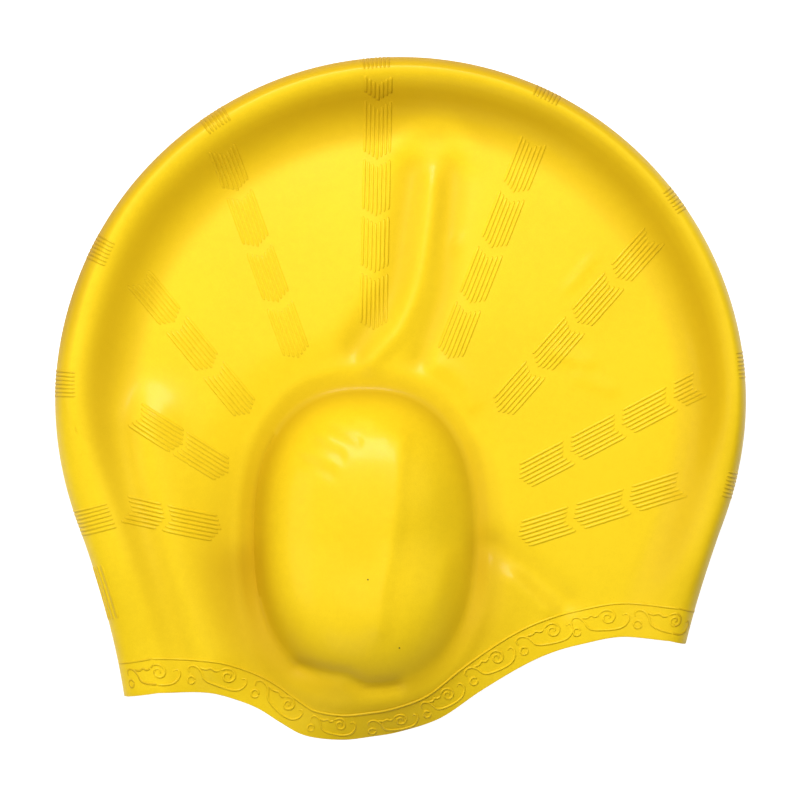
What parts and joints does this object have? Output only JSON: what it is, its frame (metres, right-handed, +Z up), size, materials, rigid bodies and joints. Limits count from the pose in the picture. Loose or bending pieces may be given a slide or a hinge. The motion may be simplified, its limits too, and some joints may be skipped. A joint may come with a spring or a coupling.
{
  "type": "swim cap with ear pouches",
  "caption": "Soft moulded silicone swim cap with roomy ear pouches, a rolled crown fold and a curved open rim, lying flat on its side.",
  "frame": {"origin": "under the middle of the cap, on the surface it lies on", "axes": "+X from the nape to the forehead, +Y from the rim to the top of the crown, +Z up from the surface through both layers"},
  "size_m": [0.2299, 0.228, 0.0284],
  "materials": {
    "silicone": "satin"
  },
  "bodies": {
    "root": {"cap_shell": "silicone"}
  },
  "joints": []
}
